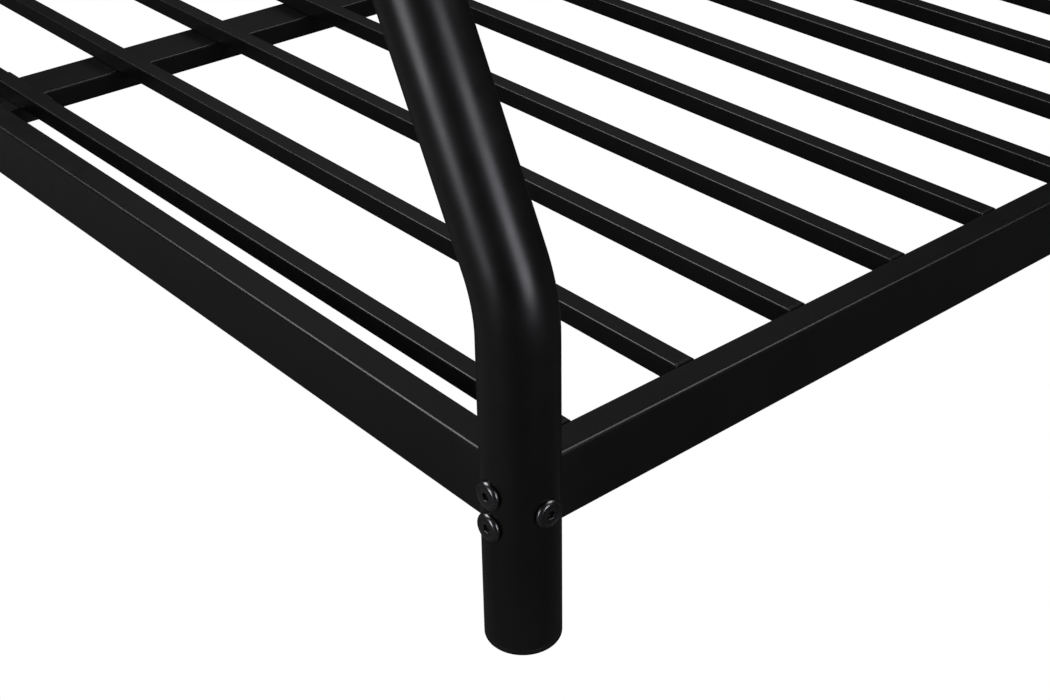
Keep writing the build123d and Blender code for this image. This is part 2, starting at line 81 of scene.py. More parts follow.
# %% [markdown]
# ## Powder coat
# The steel is sprayed with dry paint powder and baked.  The melt never levels out
# completely: it keeps a fine orange-peel ripple and a grain of single powder specks,
# and it is a little lighter where it thins at an edge.  Two noise textures make
# ripple and grain as a bump, a slow noise varies the colour and a quicker one the
# gloss, and the mesh's own pointiness finds the edges.  An image could carry this
# too, but nodes stay sharp at any distance and need no unwrapping.

# %% Helpers for node materials
noise_low, noise_high = 0.3, 0.7  # a noise factor seldom leaves this range


def empty_tree(block):
    """Switches a material or a world to nodes and clears them."""
    block.use_nodes = True
    block.node_tree.nodes.clear()
    return block.node_tree


def new_material(name):
    """An empty node material, with its shader and the piece's own coordinates."""
    material = bpy.data.materials.new(name)
    tree = empty_tree(material)
    shader = tree.nodes.new("ShaderNodeBsdfPrincipled")
    output = tree.nodes.new("ShaderNodeOutputMaterial")
    place = tree.nodes.new("ShaderNodeTexCoord")
    tree.links.new(shader.outputs["BSDF"], output.inputs["Surface"])
    return material, tree, shader, place.outputs["Object"]


def noise(tree, place, scale, detail=2.0):
    """A noise texture over the piece; its cells are about 1/scale metres."""
    texture = tree.nodes.new("ShaderNodeTexNoise")
    texture.inputs["Scale"].default_value = scale
    texture.inputs["Detail"].default_value = detail
    tree.links.new(place, texture.inputs["Vector"])
    return texture.outputs["Fac"]


def spread(tree, factor, low, high, start=noise_low, stop=noise_high):
    """Turns a factor into a value between low and high."""
    node = tree.nodes.new("ShaderNodeMapRange")
    node.inputs["From Min"].default_value = start
    node.inputs["From Max"].default_value = stop
    node.inputs["To Min"].default_value = low
    node.inputs["To Max"].default_value = high
    tree.links.new(factor, node.inputs["Value"])
    return node.outputs["Result"]


def tint(tree, factor, dark, light):
    """Turns a factor into a colour between dark and light."""
    ramp = tree.nodes.new("ShaderNodeValToRGB")
    ramp.color_ramp.elements[0].position = noise_low
    ramp.color_ramp.elements[1].position = noise_high
    ramp.color_ramp.elements[0].color = (*dark, 1)
    ramp.color_ramp.elements[1].color = (*light, 1)
    tree.links.new(factor, ramp.inputs["Fac"])
    return ramp.outputs["Color"]


def bump(tree, height, depth, under=None):
    """Bends the surface by a height pattern; depth is in metres."""
    node = tree.nodes.new("ShaderNodeBump")
    node.inputs["Strength"].default_value = 1.0
    node.inputs["Distance"].default_value = depth
    tree.links.new(height, node.inputs["Height"])
    if under is not None:
        tree.links.new(under, node.inputs["Normal"])
    return node.outputs["Normal"]


# %% The powder coat
# Darker than a real coat: these colours suit the lights of this studio.
coat_dark, coat_light = (0.0026, 0.0026, 0.0029), (0.0040, 0.0040, 0.0044)
coat_edge = (0.010, 0.010, 0.0105)
orange_peel, weld_ripple = 0.000012, 0.00005


def powder_coat(name, ripple_depth):
    """Satin black powder coat, with orange peel of a given depth."""
    material, tree, shader, place = new_material(name)
    cloud = noise(tree, place, 14.0)
    edge = tree.nodes.new("ShaderNodeNewGeometry").outputs["Pointiness"]
    worn = spread(tree, edge, 0.0, 1.0, start=0.52, stop=0.60)
    body_colour = tint(tree, cloud, coat_dark, coat_light)
    mix = tree.nodes.new("ShaderNodeMix")
    mix.data_type = "RGBA"
    mix.inputs["B"].default_value = (*coat_edge, 1)
    tree.links.new(worn, mix.inputs["Factor"])
    tree.links.new(body_colour, mix.inputs["A"])
    tree.links.new(mix.outputs["Result"], shader.inputs["Base Color"])
    gloss = spread(tree, noise(tree, place, 55.0, 3.0), 0.30, 0.37)
    tree.links.new(gloss, shader.inputs["Roughness"])
    ripple = bump(tree, noise(tree, place, 420.0), ripple_depth)
    grain = bump(tree, noise(tree, place, 1100.0, 1.0), ripple_depth * 0.5, under=ripple)
    tree.links.new(grain, shader.inputs["Normal"])
    return material


black_paint = powder_coat("black_powder_coat", orange_peel)
weld_paint = powder_coat("black_powder_coat_on_welds", weld_ripple)
print("finish:", black_paint.name, "and", weld_paint.name)

# %% [markdown]
# ## Plastic, bolt metal and zinc
# The plugs and caps are moulded nylon: the mould is spark-eroded, which leaves an
# even, sandy texture and a flat sheen.  The bolts are plated with black nickel, a
# dark metal of fine crystal cells; their sockets are painted duller and blacker, as
# painted shade in the hex recess.  The inserts inside the tubes are zinc plated, with
# larger cells.  A Voronoi texture gives the cells in one node, and noise varies the gloss.

# %% The other finishes
def moulded_plastic():
    """Matt black nylon with a spark-eroded texture."""
    material, tree, shader, place = new_material("black_moulded_nylon")
    cloud = noise(tree, place, 60.0)
    colour = tint(tree, cloud, (0.0030, 0.0030, 0.0032), (0.0048, 0.0048, 0.0051))
    tree.links.new(colour, shader.inputs["Base Color"])
    sheen = spread(tree, noise(tree, place, 180.0), 0.48, 0.60)
    tree.links.new(sheen, shader.inputs["Roughness"])
    sand = bump(tree, noise(tree, place, 3200.0, 3.0), 0.00004)
    tree.links.new(sand, shader.inputs["Normal"])
    return material


def plated_metal(name, dark, light, smooth, rough, cell_scale):
    """Plated steel: metallic, with a cell pattern in colour and gloss."""
    material, tree, shader, place = new_material(name)
    cells = tree.nodes.new("ShaderNodeTexVoronoi")
    cells.inputs["Scale"].default_value = cell_scale
    tree.links.new(place, cells.inputs["Vector"])
    cloud = tree.nodes.new("ShaderNodeSeparateColor")
    tree.links.new(cells.outputs["Color"], cloud.inputs["Color"])
    shader.inputs["Metallic"].default_value = 1.0
    tree.links.new(tint(tree, cloud.outputs["Red"], dark, light), shader.inputs["Base Color"])
    gloss = spread(tree, noise(tree, place, cell_scale * 2), smooth, rough)
    tree.links.new(gloss, shader.inputs["Roughness"])
    fine = bump(tree, noise(tree, place, 5000.0, 2.0), 0.00001)
    tree.links.new(fine, shader.inputs["Normal"])
    return material


nylon = moulded_plastic()
nickel_cells, zinc_cells = 1800.0, 260.0
bolt_metal = plated_metal(
    "black_nickel_bolt", (0.12, 0.12, 0.126), (0.16, 0.16, 0.168), 0.22, 0.30, nickel_cells)
# The socket's colours are painted shade: darker and duller than the head, for the shade in the
# hex recess.
socket_shade_metal = plated_metal(
    "socket_painted_shade", (0.012, 0.012, 0.012), (0.03, 0.03, 0.03), 0.5, 0.7, nickel_cells)
zinc = plated_metal(
    "bright_zinc", (0.42, 0.43, 0.45), (0.60, 0.61, 0.63), 0.25, 0.42, zinc_cells)
print("finishes:", nylon.name, bolt_metal.name, socket_shade_metal.name, zinc.name)

# %% [markdown]
# ## Making a piece from a mesh
# Every piece here goes through one door: its faces are turned outward and shaded
# smooth with normals weighted by face area, which keeps flat faces flat beside
# rounded edges.  Then it rides on the bed's one body and takes over its CAD node.

# %% Turn a mesh into a piece
flat_face_weight = 100


def make_piece(name, mesh_builder, material, nodes):
    """Finish a bmesh as a named piece that stands for some CAD nodes."""
    bmesh.ops.recalc_face_normals(mesh_builder, faces=mesh_builder.faces)
    mesh = bpy.data.meshes.new(name)
    mesh_builder.to_mesh(mesh)
    mesh_builder.free()
    mesh.shade_smooth()
    mesh.materials.append(material)
    piece = bpy.data.objects.new(name, mesh)
    scene.collection.objects.link(piece)
    weighted = piece.modifiers.new("keep_flats_flat", "WEIGHTED_NORMAL")
    weighted.weight = flat_face_weight
    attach(piece, "root")
    if nodes:
        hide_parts(*nodes)
    return piece


# %% [markdown]
# ## Tubes
# A tube is one outline carried along a line.  A curve object with a bevel would do
# it, but its ends can't be cut to fit a round post, and it has no wall.  So the
# rings are placed one by one: an outer and an inner ring at each station, joined by
# quads, with a flat annulus at both ends.  All the bends of this bed lie in one
# plane, so the plane's normal stays the sideways direction of every ring.

# %% Outlines
def round_outline(radius, count=48):
    """Points of a round tube's section."""
    step = 2 * math.pi / count
    return [(radius * math.cos(step * k), radius * math.sin(step * k)) for k in range(count)]


def box_outline(width, height, corner, corner_steps=6, flat_steps=8):
    """Points of a rectangular tube's section, with rounded corners."""
    points = []
    half_w, half_h = width / 2 - corner, height / 2 - corner
    centres = [(half_w, half_h), (-half_w, half_h), (-half_w, -half_h), (half_w, -half_h)]
    for turn, (cx, cy) in enumerate(centres):
        for k in range(corner_steps + 1):
            angle = math.pi / 2 * (turn + k / corner_steps)
            points.append((cx + corner * math.cos(angle), cy + corner * math.sin(angle)))
        next_x, next_y = centres[(turn + 1) % 4]
        end_angle = math.pi / 2 * (turn + 1)
        start = Vector(points[-1])
        stop = Vector((next_x + corner * math.cos(end_angle),
                       next_y + corner * math.sin(end_angle)))
        for k in range(1, flat_steps):
            points.append(tuple(start.lerp(stop, k / flat_steps)))
    return points


# %% Sweep an outline along a line
def add_tube(mesh_builder, stations, sideways, outer, inner, cuts=(None, None)):
    """Sweep a wall along stations of (centre, direction); cuts shape the two ends."""
    rings = []
    last = len(stations) - 1
    for index, (centre, direction) in enumerate(stations):
        across = direction.cross(sideways).normalized()
        cut = cuts[0] if index == 0 else cuts[1] if index == last else None
        pair = []
        for outline in (outer, inner):
            ring = []
            for u, v in outline:
                point = centre + sideways * u + across * v
                ring.append(mesh_builder.verts.new(cut(point) if cut else point))
            pair.append(ring)
        rings.append(pair)
    count = len(outer)
    for near, far in zip(rings, rings[1:]):
        for wall in (0, 1):
            for k in range(count):
                m = (k + 1) % count
                mesh_builder.faces.new((near[wall][k], near[wall][m], far[wall][m], far[wall][k]))
    for outer_ring, inner_ring in (rings[0], rings[-1]):
        for k in range(count):
            m = (k + 1) % count
            mesh_builder.faces.new((outer_ring[k], outer_ring[m], inner_ring[m], inner_ring[k]))


def straight(start, stop, inset=0.03, pitch=0.25):
    """Stations of a straight tube, with one near each end and some between."""
    run = stop - start
    length = run.length
    direction = run / length
    middle_steps = max(2, round((length - 2 * inset) / pitch))
    marks = [0.0]
    marks += [inset + (length - 2 * inset) * k / middle_steps for k in range(middle_steps + 1)]
    return [(start + direction * mark, direction) for mark in marks + [length]]


# %% [markdown]
# ## Bent lines
# A tube bender gives straight runs joined by arcs of one radius.  Each corner of
# the line is cut back by radius x tan(half the turn), and the arc between is
# stepped in small angles, so that the highlight flows round the bend unbroken.

# %% Stations of a bent tube
def bent(corners, radius, turn_step=math.radians(2.0), run_step=0.06):
    """Stations along a line of corners, each rounded to the radius."""
    stations = []
    pen = corners[0]
    for before, corner, after in zip(corners, corners[1:], corners[2:]):
        incoming = (corner - before).normalized()
        outgoing = (after - corner).normalized()
        turn = incoming.angle(outgoing)
        axis = incoming.cross(outgoing).normalized()
        cutback = radius * math.tan(turn / 2)
        arc_start = corner - incoming * cutback
        run = (arc_start - pen).length
        run_steps = max(1, round(run / run_step))
        for k in range(run_steps):
            stations.append((pen + incoming * (run * k / run_steps), incoming))
        hub = arc_start + axis.cross(incoming) * radius
        steps = max(2, round(turn / turn_step))
        for k in range(steps):
            swing = Matrix.Rotation(turn * k / steps, 3, axis)
            stations.append((hub + swing @ (arc_start - hub), swing @ incoming))
        pen = corner + outgoing * cutback
    last_run = corners[-1] - pen
    direction = last_run.normalized()
    steps = max(1, round(last_run.length / run_step))
    stations += [(pen + last_run * (k / steps), direction) for k in range(steps + 1)]
    return stations


# %% [markdown]
# ## Lower posts
# The thick corner posts carry everything.  They stand upright at the floor, lean
# in over the low bed and turn upright again below the bunk.  The line has four
# corners, which follow from the two post axes, the lean and the first bend.

# %% Bend the four lower posts
post_wall = 0.0015
post_lean = math.radians(26.6)
first_bend = 0.2435
bend_radius = 0.100
joint_gap = 0.0002  # each tube stops this far from the joint
post_sides = 64
post_outline = round_outline(post_radius, post_sides)
post_bore_outline = round_outline(post_radius - post_wall, post_sides)
along_bed = Vector((1, 0, 0))
second_bend = first_bend + (lower_y - upper_y) / math.tan(post_lean)

for side_name, side in sides.items():
    for end_name, end in ends.items():
        line = [
            Vector((end * end_x, side * lower_y, foot_height)),
            Vector((end * end_x, side * lower_y, first_bend)),
            Vector((end * end_x, side * upper_y, second_bend)),
            Vector((end * end_x, side * upper_y, post_joint - joint_gap)),
        ]
        bm = bmesh.new()
        add_tube(bm, bent(line, bend_radius), along_bed, post_outline, post_bore_outline)
        node = f"lower_post_{side_name}_{end_name}"
        make_piece(f"bent_{node}", bm, black_paint, [node])
print(f"lower posts lean {math.degrees(post_lean):.1f} degrees up to z = {second_bend:.3f}")

# %% [markdown]
# ## Upper posts
# A straight length stands on each lower post, and a hairline gap shows where the
# two tubes meet over the hidden sleeve.  An extra ring close to each end keeps the
# smooth shading of the cut mouth from spreading along the tube.

# %% Stand the four upper posts
def ringed(stations, edge=0.0006):
    """Stations with an extra one close to each end."""
    first, last = stations[0], stations[-1]
    after_first = (first[0] + first[1] * edge, first[1])
    before_last = (last[0] - last[1] * edge, last[1])
    return [first, after_first] + stations[1:-1] + [before_last, last]


for side_name, side in sides.items():
    for end_name, end in ends.items():
        foot = Vector((end * end_x, side * upper_y, post_joint + joint_gap))
        head = Vector((end * end_x, side * upper_y, post_top))
        bm = bmesh.new()
        add_tube(bm, ringed(straight(foot, head)), along_bed, post_outline, post_bore_outline)
        node = f"upper_post_{side_name}_{end_name}"
        make_piece(f"straight_{node}", bm, black_paint, [node])
print(f"upper posts from z = {post_joint:.3f} to {post_top:.3f}")

# %% [markdown]
# ## Rails
# Rails are rectangular tube with rounded corners, cut to the round of the post at
# both ends, a cut that a shop calls a saddle or fish-mouth.  A boolean would give
# it too, but leaves ragged faces.  Sliding each point of the end ring along the
# rail until it touches the post gives a clean edge on the same quads.

# %% Saddle cuts
saddle_gap = 0.0001


def saddle(direction, post_axis, radius, toward):
    """A cut that slides a point along a level direction to the round of a post."""
    across = Vector((-direction.y, direction.x, 0))

    def cut(point):
        offset = (point - post_axis).dot(across)
        reach = math.sqrt(max((radius + saddle_gap) ** 2 - offset ** 2, 0.0))
        along = (point - post_axis).dot(direction)
        return point + direction * (toward * reach - along)

    return cut


def add_rail(mesh_builder, first_post, last_post, outer, inner, sideways, radius):
    """A level tube between two upright posts, saddle-cut at both ends."""
    direction = (last_post - first_post).normalized()
    start = first_post + direction * radius
    stop = last_post - direction * radius
    cuts = (saddle(direction, first_post, radius, 1), saddle(direction, last_post, radius, -1))
    add_tube(mesh_builder, straight(start, stop), sideways, outer, inner, cuts)


# %% Build the eight rails
tube_wall = 0.0015
rail_corner = 0.0025
rail_low, rail_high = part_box("lower_side_rail_front")
rail_width = rail_high.y - rail_low.y
rail_height = rail_high.z - rail_low.z
rail_bore_corner = rail_corner / 2.5
rail_outline = box_outline(rail_height, rail_width, rail_corner)
rail_bore_outline = box_outline(
    rail_height - 2 * tube_wall, rail_width - 2 * tube_wall, rail_bore_corner)
upward = Vector((0, 0, 1))

for deck_name, (deck_y, deck_top) in decks.items():
    rail_z = deck_top - rail_height / 2
    runs = {f"side_rail_{name}": [(-1, side), (1, side)] for name, side in sides.items()}
    runs |= {f"end_rail_{name}": [(end, -1), (end, 1)] for name, end in ends.items()}
    for rail_name, corners in runs.items():
        node = f"{deck_name}_{rail_name}"
        posts = [Vector((end * end_x, side * deck_y, rail_z)) for end, side in corners]
        bm = bmesh.new()
        add_rail(bm, *posts, rail_outline, rail_bore_outline, upward, post_radius)
        make_piece(f"tube_{node}", bm, black_paint, [node])
print(f"rails {rail_width * 1000:.1f} by {rail_height * 1000:.1f} mm")

# %% [markdown]
# ## Slats
# The slats are thin square tubes between the side rails, with a plastic plug in
# each end.  Each is a tube of four rounded corners, and its place is read from its
# CAD node.  The bunk's thirteen slats are one node, so they are one piece too.

# %% Build the slats
slat_wall = 0.0012
slat_corner = 0.0016
slat_low, slat_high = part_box("lower_slat_01")
slat_size = slat_high.x - slat_low.x
slat_bore = slat_size - 2 * slat_wall
slat_steps = (5, 3)  # points round a corner and along a flat
slat_edge = 0.0005
slat_outline = box_outline(slat_size, slat_size, slat_corner, *slat_steps)
slat_bore_outline = box_outline(slat_bore, slat_bore, slat_corner / 4, *slat_steps)


def add_slat(mesh_builder, x, front_y, rear_y, deck_top):
    """One square tube across the bed."""
    z = deck_top - slat_size / 2
    line = straight(Vector((x, front_y, z)), Vector((x, rear_y, z)))
    add_tube(mesh_builder, ringed(line, slat_edge), upward, slat_outline, slat_bore_outline)


lower_slat_nodes = sorted(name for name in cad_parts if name.startswith("lower_slat_"))
for node in lower_slat_nodes:
    low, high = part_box(node)
    bm = bmesh.new()
    add_slat(bm, (low.x + high.x) / 2, low.y, high.y, lower_deck)
    make_piece(f"square_{node}", bm, black_paint, [node])

upper_slat_count = 13
low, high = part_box("upper_slats")
first_x = low.x + slat_size / 2
upper_pitch = (high.x - low.x - slat_size) / (upper_slat_count - 1)
bm = bmesh.new()
for index in range(upper_slat_count):
    add_slat(bm, first_x + upper_pitch * index, low.y, high.y, upper_deck)
make_piece("square_upper_slats", bm, black_paint, ["upper_slats"])
print(len(lower_slat_nodes), "slats below and", upper_slat_count, "above")

# %% [markdown]
# ## Centre beam
# A flat rectangular tube runs under the slats, down the middle of the low bed.  It
# is the same kind of tube as a rail, laid on its side.

# %% Build the beam
low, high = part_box("centre_beam")
beam_width, beam_height = high.y - low.y, high.z - low.z
beam_corner = 0.002
beam_outline = box_outline(beam_height, beam_width, beam_corner)
beam_bore_outline = box_outline(
    beam_height - 2 * tube_wall, beam_width - 2 * tube_wall, beam_corner / 2)
beam_z = (low.z + high.z) / 2
bm = bmesh.new()
beam_line = straight(Vector((low.x, 0, beam_z)), Vector((high.x, 0, beam_z)))
add_tube(bm, ringed(beam_line), upward, beam_outline, beam_bore_outline)
make_piece("flat_centre_beam", bm, black_paint, ["centre_beam"])
print(f"beam {beam_width * 1000:.0f} by {beam_height * 1000:.0f} mm")

# %% [markdown]
# ## Guard bars and the front hoop
# Round bars keep the sleeper in the bunk.  The rear and end bars are straight and
# saddle-cut like the rails.  The front guard is one tube bent back on itself, and
# only its two ends, at the left post, are cut.

# %% Build the guard bars
bar_wall = 0.0012
hoop_bend = 0.050
low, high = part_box("rear_guard_top_bar")
bar_radius = (high.z - low.z) / 2
bar_sides = 40
bar_outline = round_outline(bar_radius, bar_sides)
bar_bore_outline = round_outline(bar_radius - bar_wall, bar_sides)


def bar_height(node, highest):
    """Axis height of the highest or lowest bar of a node."""
    low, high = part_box(node)
    return high.z - bar_radius if highest else low.z + bar_radius


for node in ("rear_guard_top_bar", "rear_guard_mid_bar"):
    z = bar_height(node, True)
    posts = [Vector((end * end_x, upper_y, z)) for end in (-1, 1)]
    bm = bmesh.new()
    add_rail(bm, *posts, bar_outline, bar_bore_outline, upward, post_radius)
    make_piece(f"round_{node}", bm, black_paint, [node])

for end_name, end in ends.items():
    node = f"{end_name}_guard_bars"
    bm = bmesh.new()
    for highest in (False, True):
        z = bar_height(node, highest)
        posts = [Vector((end * end_x, side * upper_y, z)) for side in (-1, 1)]
        add_rail(bm, *posts, bar_outline, bar_bore_outline, upward, post_radius)
    make_piece(f"round_{node}", bm, black_paint, [node])

low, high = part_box("front_guard_hoop")
hoop_top, hoop_bottom = high.z - bar_radius, low.z + bar_radius
hoop_end = high.x - bar_radius
left_post = Vector((-end_x, -upper_y, 0))
hoop_corners = [
    Vector((-end_x + post_radius, -upper_y, hoop_top)),
    Vector((hoop_end, -upper_y, hoop_top)),
    Vector((hoop_end, -upper_y, hoop_bottom)),
    Vector((-end_x + post_radius, -upper_y, hoop_bottom)),
]
post_cut = saddle(along_bed, left_post, post_radius, 1)
hoop_turn_step = math.radians(4)
bm = bmesh.new()
add_tube(bm, bent(hoop_corners, hoop_bend, hoop_turn_step), Vector((0, 1, 0)),
         bar_outline, bar_bore_outline, (post_cut, post_cut))
make_piece("bent_front_guard_hoop", bm, black_paint, ["front_guard_hoop"])
print(f"guard bars {2 * bar_radius * 1000:.0f} mm thick, hoop ends at x = {hoop_end:.3f}")

# %% [markdown]
# ## Ladder stiles and rungs
# Two round stiles lean from the low rail to the bunk and bend upright there.  The
# flat rungs are fitted between them: their end points slide sideways to the round
# of the leaning stile, the same cut as a saddle but on a tilted tube.

# %% Build the stiles
stile_bend = 0.180
stile_knee = 1.100
stile_nodes = ("ladder_stile_left", "ladder_stile_right")
stile_low, stile_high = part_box(stile_nodes[0])
stile_top_y = stile_high.y - bar_radius
stile_foot = Vector((0, -lower_y, stile_low.z))
stile_knee_point = Vector((0, stile_top_y, stile_knee))
stile_lean = (stile_knee_point - stile_foot).normalized()
stiles_x = []


def level_foot(point):
    """Cuts the leaning foot level, on the clip that it stands on."""
    return point - stile_lean * ((point.z - stile_low.z) / stile_lean.z)


for node in stile_nodes:
    low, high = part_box(node)
    x = Vector(((low.x + high.x) / 2, 0, 0))
    stiles_x.append(x.x)
    line = [stile_foot + x, stile_knee_point + x, Vector((x.x, stile_top_y, high.z))]
    bm = bmesh.new()
    add_tube(bm, bent(line, stile_bend), along_bed,
             bar_outline, bar_bore_outline, (level_foot, None))
    make_piece(f"bent_{node}", bm, black_paint, [node])
print("stiles at x =", [round(x, 3) for x in stiles_x])

# %% Build the rungs
rung_width, rung_height = 0.030, 0.015
rung_count = 4
rung_outline = box_outline(rung_height, rung_width, rail_corner)
rung_bore_outline = box_outline(
    rung_height - 2 * bar_wall, rung_width - 2 * bar_wall, rail_corner / 2)
rungs_low, rungs_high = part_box("ladder_rungs")
lowest_rung = rungs_low.z + rung_height / 2
rung_pitch = (rungs_high.z - rungs_low.z - rung_height) / (rung_count - 1)
rung_heights = [lowest_rung + rung_pitch * k for k in range(rung_count)]


def stile_y(z):
    """Y of a stile's axis at a height on its leaning part."""
    return stile_foot.y + (z - stile_foot.z) * stile_lean.y / stile_lean.z


def stile_cut(stile_x, toward):
    """A cut that slides a point sideways to the round of a leaning stile."""
    def cut(point):
        offset = (point.y - stile_y(point.z)) * stile_lean.z
        reach = math.sqrt(max(bar_radius ** 2 - offset ** 2, 0.0))
        return Vector((stile_x + toward * reach, point.y, point.z))
    return cut


# The rung is a little wider than the stile is thick, so its corners run past the
# stile's side; they stop at the stile's widest line.
bm = bmesh.new()
for z in rung_heights:
    left = Vector((stiles_x[0], stile_y(z), z))
    right = Vector((stiles_x[1], stile_y(z), z))
    cuts = (stile_cut(stiles_x[0], 1), stile_cut(stiles_x[1], -1))
    add_tube(bm, straight(left, right), upward, rung_outline, rung_bore_outline, cuts)
make_piece("flat_ladder_rungs", bm, black_paint, ["ladder_rungs"])
print("rungs at z =", [round(z, 3) for z in rung_heights])

# %% [markdown]
# ## Guard uprights
# Thin uprights stand on the bunk's rails and are welded to the bars they meet.
# Each one is cut into lengths between rail and bars, so every length gets one
# saddle for each bar, this time along the upright.

# %% Build the uprights
upright_radius = 0.008
upright_sides = 32
upright_outline = round_outline(upright_radius, upright_sides)
upright_bore_outline = round_outline(upright_radius - bar_wall, upright_sides)


def bar_cut(upright_at, bar_axis_z, bar_direction, toward):
    """A cut that slides a point up or down to the round of a level bar."""
    def cut(point):
        crosswise = point.y - upright_at.y if bar_direction == "x" else point.x - upright_at.x
        reach = math.sqrt(bar_radius ** 2 - crosswise ** 2)
        return Vector((point.x, point.y, bar_axis_z + toward * reach))
    return cut


quarter = end_x / 2
hoop_upright = hoop_end - 2 * hoop_bend
side_tops = (hoop_bottom, hoop_top)
end_tops = (bar_height("left_guard_bars", False), bar_height("left_guard_bars", True))
uprights = [(Vector((x, upper_y, 0)), "x", side_tops) for x in (-quarter, 0, quarter)]
uprights += [(Vector((x, -upper_y, 0)), "x", side_tops) for x in (-quarter, 0, hoop_upright)]
uprights += [(Vector((end * end_x, 0, 0)), "y", end_tops) for end in (-1, 1)]

bm = bmesh.new()
for upright_at, bar_direction, (mid_z, top_z) in uprights:
    lower_cuts = (None, bar_cut(upright_at, mid_z, bar_direction, -1))
    upper_cuts = (bar_cut(upright_at, mid_z, bar_direction, 1),
                  bar_cut(upright_at, top_z, bar_direction, -1))
    for low_z, high_z, cuts in ((upper_deck, mid_z, lower_cuts), (mid_z, top_z, upper_cuts)):
        line = straight(upright_at + Vector((0, 0, low_z)), upright_at + Vector((0, 0, high_z)))
        add_tube(bm, line, along_bed, upright_outline, upright_bore_outline, cuts)
make_piece("round_guard_uprights", bm, black_paint, ["guard_uprights"])
print(len(uprights), "uprights, each in two lengths")

# %% [markdown]
# ## Weld beads
# Welded joints show a small rippled bead under the paint.  A bead is a thin tube
# along the line where two pieces meet; its radius swells and shrinks a little from
# one pulse of the weld to the next.  The line is known exactly: it is the saddle
# curve that the end was cut to, or a plain circle where an upright stands on a rail.

# %% Lay a bead along a closed line
bead_radius = 0.0017
pulse_length = 0.0022
pulse_swell = 0.13
nearly_upright = 0.8


def add_bead(mesh_builder, points, radius=bead_radius, around=10):
    """A rippled bead along a closed loop of points."""
    count = len(points)
    travelled = 0.0
    rings = []
    for k, point in enumerate(points):
        direction = (points[(k + 1) % count] - points[k - 1]).normalized()
        helper = upward if abs(direction.z) < nearly_upright else along_bed
        sideways = direction.cross(helper).normalized()
        across = sideways.cross(direction)
        swell = radius * (1 + pulse_swell * math.sin(2 * math.pi * travelled / pulse_length))
        ring = []
        for m in range(around):
            angle = 2 * math.pi * m / around
            ring.append(mesh_builder.verts.new(
                point + (sideways * math.cos(angle) + across * math.sin(angle)) * swell))
        rings.append(ring)
        travelled += (points[(k + 1) % count] - point).length
    for k in range(count):
        near, far = rings[k], rings[(k + 1) % count]
        for m in range(around):
            n = (m + 1) % around
            mesh_builder.faces.new((near[m], near[n], far[n], far[m]))


# %% Beads of the guard uprights
bead_steps = 96
circle = [Vector((x, y, 0)) for x, y in round_outline(upright_radius, bead_steps)]
bm = bmesh.new()
for upright_at, bar_direction, tops in uprights:
    add_bead(bm, [upright_at + step + Vector((0, 0, upper_deck)) for step in circle])
    joints = [(tops[0], -1), (tops[0], 1), (tops[1], -1)]
    for bar_z, toward in joints:
        cut = bar_cut(upright_at, bar_z, bar_direction, toward)
        add_bead(bm, [cut(upright_at + step) for step in circle])
make_piece("weld_beads_of_uprights", bm, weld_paint, [])
print("beads on uprights:", len(uprights) * 4)

# %% Beads of the ladder rungs
rung_bead_radius = 0.0013
fine_steps = (8, 14)  # points round a corner and along a flat
bm = bmesh.new()
fine_outline = box_outline(rung_height, rung_width, rail_corner, *fine_steps)
for z in rung_heights:
    for stile_x, toward in zip(stiles_x, (1, -1)):
        cut = stile_cut(stile_x, toward)
        outline = [Vector((stile_x, stile_y(z) + v, z + u)) for u, v in fine_outline]
        add_bead(bm, [cut(point) for point in outline], rung_bead_radius)
make_piece("weld_beads_of_rungs", bm, weld_paint, [])
print("beads on rungs:", 2 * rung_count)

# %% [markdown]
# ## Bolts
# Furniture bolts have a wide flat head, with a turned, sloping rim, a slightly
# dished face and a small hexagon socket.  A lathe makes the real one, so here one
# profile is turned round the bolt's axis.  Only the socket isn't round: its rings
# swap the circle for a hexagon.  The head is what shows, but the shank is there.

# %% Turn a bolt
def hexagon(angle, across_flats):
    """Distance from the axis to a hexagon's side at an angle."""
    sector = math.pi / 3
    return across_flats / 2 / math.cos((angle % sector) - sector / 2)


